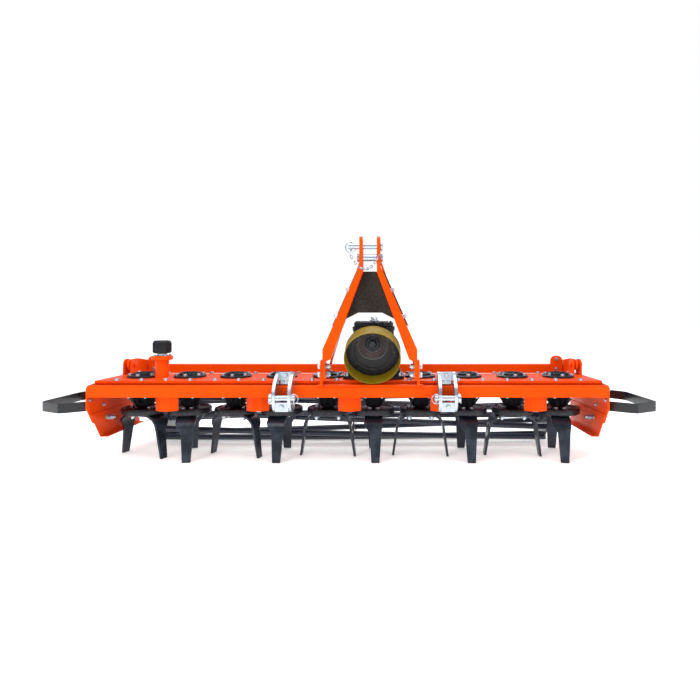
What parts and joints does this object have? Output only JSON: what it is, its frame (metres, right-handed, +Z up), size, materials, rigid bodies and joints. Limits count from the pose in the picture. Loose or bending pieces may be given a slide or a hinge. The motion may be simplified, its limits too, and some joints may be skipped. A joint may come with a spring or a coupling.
{
  "type": "power harrow",
  "caption": "Tractor-mounted power harrow: row of geared rotors with bent tines under a trough, bevel gearbox with drive guard, headstock, side plates and cage roller.",
  "frame": {"origin": "on the ground under the middle of the bounding box; tine tips and roller bars stand at z = 0", "axes": "+X to the right as seen from the tractor, along the row of rotors; +Y to the rear, away from the tractor; +Z up"},
  "size_m": [3.194, 0.8055, 1.152],
  "materials": {
    "orange_paint": "semi-gloss orange paint",
    "black_paint": "satin black paint",
    "tine_steel": "dark blue-black forged steel",
    "cast_iron": "dark painted casting",
    "zinc_plate": "bright blue zinc plate",
    "machined_steel": "machined, oiled",
    "guard_plastic": "semi-matte yellow plastic",
    "shield_metal": "dull dark galvanised sheet",
    "cap_plastic": "matte black plastic",
    "roller_paint": "gloss blue-black paint"
  },
  "bodies": {
    "root": {"gear_trough": "orange_paint", "trough_lid": "orange_paint", "front_beam": "orange_paint", "gearbox_housing": "cast_iron", "gearbox_cover": "cast_iron", "pto_guard": "guard_plastic", "headstock_shield": "shield_metal", "spacer_pin": "zinc_plate", "side_plate_left": "orange_paint", "side_plate_right": "orange_paint", "guard_hoop_left": "black_paint", "guard_hoop_right": "black_paint", "headstock_leg_left": "orange_paint", "headstock_leg_right": "orange_paint", "headstock_strut_left": "orange_paint", "headstock_strut_right": "orange_paint", "hitch_clamp_left": "zinc_plate", "hitch_clamp_right": "zinc_plate"},
    "rotor_01": {"rotor_01": "tine_steel", "tine_01_a": "tine_steel", "tine_01_b": "tine_steel"},
    "rotor_02": {"rotor_02": "tine_steel", "tine_02_a": "tine_steel", "tine_02_b": "tine_steel"},
    "rotor_03": {"rotor_03": "tine_steel", "tine_03_a": "tine_steel", "tine_03_b": "tine_steel"},
    "rotor_04": {"rotor_04": "tine_steel", "tine_04_a": "tine_steel", "tine_04_b": "tine_steel"},
    "rotor_05": {"rotor_05": "tine_steel", "tine_05_a": "tine_steel", "tine_05_b": "tine_steel"},
    "rotor_06": {"rotor_06": "tine_steel", "tine_06_a": "tine_steel", "tine_06_b": "tine_steel", "crown_gear": "machined_steel"},
    "rotor_07": {"rotor_07": "tine_steel", "tine_07_a": "tine_steel", "tine_07_b": "tine_steel"},
    "rotor_08": {"rotor_08": "tine_steel", "tine_08_a": "tine_steel", "tine_08_b": "tine_steel"},
    "rotor_09": {"rotor_09": "tine_steel", "tine_09_a": "tine_steel", "tine_09_b": "tine_steel"},
    "rotor_10": {"rotor_10": "tine_steel", "tine_10_a": "tine_steel", "tine_10_b": "tine_steel"},
    "input_shaft": {"input_shaft": "machined_steel"},
    "roller_frame": {"roller_beam": "orange_paint", "roller_arm_left": "orange_paint", "roller_arm_right": "orange_paint"},
    "roller": {"roller": "roller_paint"},
    "top_link_pin": {"top_link_pin": "zinc_plate"},
    "hitch_pin_left": {"hitch_pin_left": "zinc_plate"},
    "hitch_pin_right": {"hitch_pin_right": "zinc_plate"},
    "breather_cap": {"breather_cap": "cap_plastic"},
    "side_deflector_left": {"side_deflector_left": "orange_paint"},
    "side_deflector_right": {"side_deflector_right": "orange_paint"}
  },
  "joints": [
    {"name": "rotor_01_spin", "type": "hinge", "parent": "root", "child": "rotor_01", "pos_m": [-1.125, -0.09209, 0.3], "axis": [0, 0, 1], "continuous": true},
    {"name": "rotor_02_spin", "type": "hinge", "parent": "root", "child": "rotor_02", "pos_m": [-0.875, -0.09209, 0.3], "axis": [0, 0, 1], "continuous": true},
    {"name": "rotor_03_spin", "type": "hinge", "parent": "root", "child": "rotor_03", "pos_m": [-0.625, -0.09209, 0.3], "axis": [0, 0, 1], "continuous": true},
    {"name": "rotor_04_spin", "type": "hinge", "parent": "root", "child": "rotor_04", "pos_m": [-0.375, -0.09209, 0.3], "axis": [0, 0, 1], "continuous": true},
    {"name": "rotor_05_spin", "type": "hinge", "parent": "root", "child": "rotor_05", "pos_m": [-0.125, -0.09209, 0.3], "axis": [0, 0, 1], "continuous": true},
    {"name": "rotor_06_spin", "type": "hinge", "parent": "root", "child": "rotor_06", "pos_m": [0.125, -0.09209, 0.3], "axis": [0, 0, 1], "continuous": true},
    {"name": "rotor_07_spin", "type": "hinge", "parent": "root", "child": "rotor_07", "pos_m": [0.375, -0.09209, 0.3], "axis": [0, 0, 1], "continuous": true},
    {"name": "rotor_08_spin", "type": "hinge", "parent": "root", "child": "rotor_08", "pos_m": [0.625, -0.09209, 0.3], "axis": [0, 0, 1], "continuous": true},
    {"name": "rotor_09_spin", "type": "hinge", "parent": "root", "child": "rotor_09", "pos_m": [0.875, -0.09209, 0.3], "axis": [0, 0, 1], "continuous": true},
    {"name": "rotor_10_spin", "type": "hinge", "parent": "root", "child": "rotor_10", "pos_m": [1.125, -0.09209, 0.3], "axis": [0, 0, 1], "continuous": true},
    {"name": "input_shaft_spin", "type": "hinge", "parent": "root", "child": "input_shaft", "pos_m": [0.125, -0.24209, 0.615], "axis": [0, 1, 0], "continuous": true},
    {"name": "roller_frame_lift", "type": "hinge", "parent": "root", "child": "roller_frame", "pos_m": [0, 0.03291, 0.48], "axis": [1, 0, 0], "range_deg": [0, 15]},
    {"name": "roller_spin", "type": "hinge", "parent": "roller_frame", "child": "roller", "pos_m": [0, 0.25291, 0.15], "axis": [1, 0, 0], "continuous": true},
    {"name": "top_link_pin_pull", "type": "slide", "parent": "root", "child": "top_link_pin", "axis": [1, 0, 0], "range_m": [0, 0.165]},
    {"name": "hitch_pin_left_pull", "type": "slide", "parent": "root", "child": "hitch_pin_left", "axis": [-1, 0, 0], "range_m": [0, 0.115]},
    {"name": "hitch_pin_right_pull", "type": "slide", "parent": "root", "child": "hitch_pin_right", "axis": [1, 0, 0], "range_m": [0, 0.115]},
    {"name": "breather_cap_turn", "type": "hinge", "parent": "root", "child": "breather_cap", "pos_m": [-0.99, -0.17209, 0.59], "axis": [0, 0, 1], "range_deg": [0, 90]},
    {"name": "side_deflector_left_adjust", "type": "slide", "parent": "root", "child": "side_deflector_left", "axis": [0, 0, 1], "range_m": [0, 0.02]},
    {"name": "side_deflector_right_adjust", "type": "slide", "parent": "root", "child": "side_deflector_right", "axis": [0, 0, 1], "range_m": [0, 0.02]}
  ],
  "couplings": [
    {"joint": "rotor_01_spin", "follows": "rotor_06_spin", "ratio": -1},
    {"joint": "rotor_02_spin", "follows": "rotor_06_spin", "ratio": 1},
    {"joint": "rotor_03_spin", "follows": "rotor_06_spin", "ratio": -1},
    {"joint": "rotor_04_spin", "follows": "rotor_06_spin", "ratio": 1},
    {"joint": "rotor_05_spin", "follows": "rotor_06_spin", "ratio": -1},
    {"joint": "rotor_07_spin", "follows": "rotor_06_spin", "ratio": -1},
    {"joint": "rotor_08_spin", "follows": "rotor_06_spin", "ratio": 1},
    {"joint": "rotor_09_spin", "follows": "rotor_06_spin", "ratio": -1},
    {"joint": "rotor_10_spin", "follows": "rotor_06_spin", "ratio": 1},
    {"joint": "input_shaft_spin", "follows": "rotor_06_spin", "ratio": -2}
  ]
}
